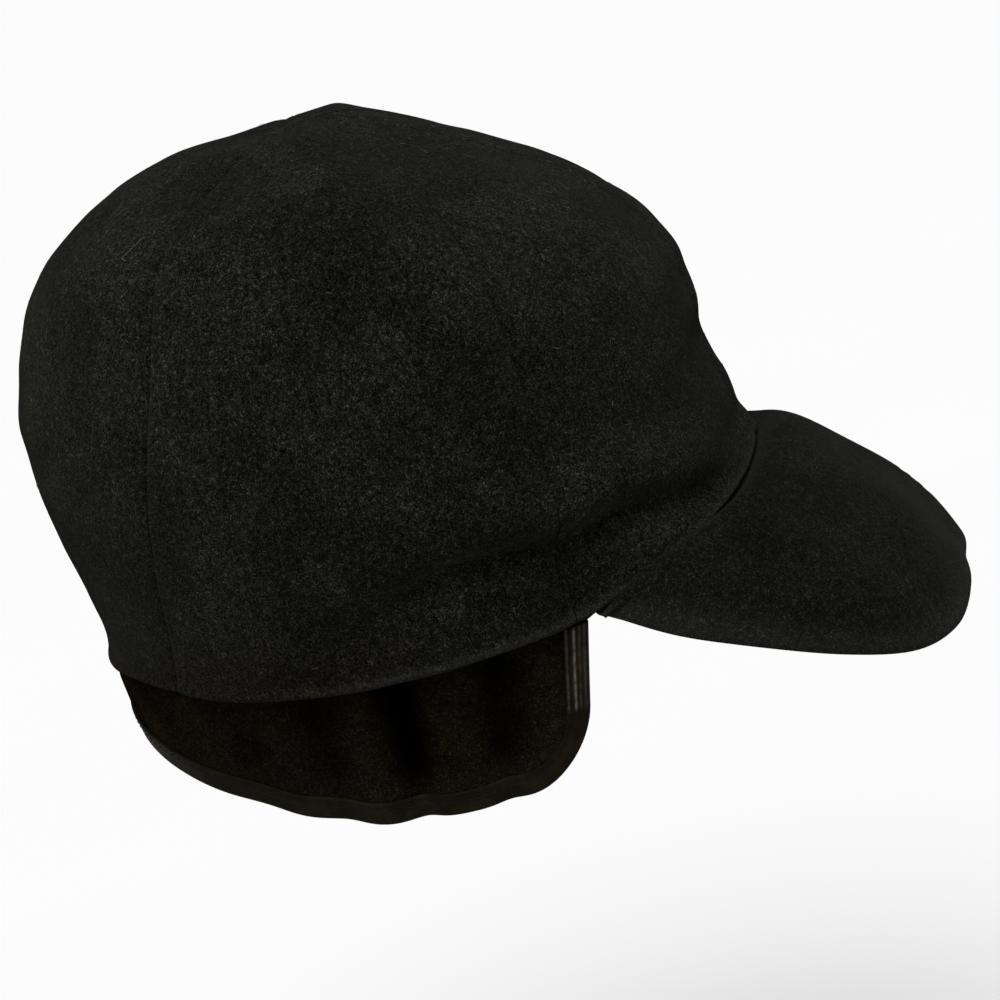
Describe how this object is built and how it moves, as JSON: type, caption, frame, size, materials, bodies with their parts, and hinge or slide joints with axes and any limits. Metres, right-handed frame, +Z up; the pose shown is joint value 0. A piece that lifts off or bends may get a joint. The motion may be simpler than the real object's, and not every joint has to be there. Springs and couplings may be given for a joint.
{
  "type": "earflap cadet cap",
  "caption": "Soft wool cadet cap with gored crown, curved cloth peak and a leather-edged ear flap hanging round sides and back.",
  "frame": {"origin": "middle of the head opening, in the plane of the crown's rim", "axes": "+Z up through the crown, -Y forward over the peak, -X towards the wearer's right"},
  "size_m": [0.1924, 0.263, 0.1924],
  "materials": {
    "crown_wool": "near-black napped wool cloth, matt, with a mottled pile",
    "peak_wool": "near-black napped wool cloth, smoother and rubbed paler at the edge",
    "flap_wool": "soft brownish black wool, matt",
    "edging_leather": "dark leather edging, slightly glossy"
  },
  "bodies": {
    "root": {"crown_panel_front_right": "crown_wool", "crown_panel_front_left": "crown_wool", "crown_panel_side_right": "crown_wool", "crown_panel_side_left": "crown_wool", "crown_panel_back_right": "crown_wool", "crown_panel_back_left": "crown_wool", "brim": "peak_wool", "ear_flap": "flap_wool", "flap_binding": "edging_leather"}
  },
  "joints": []
}
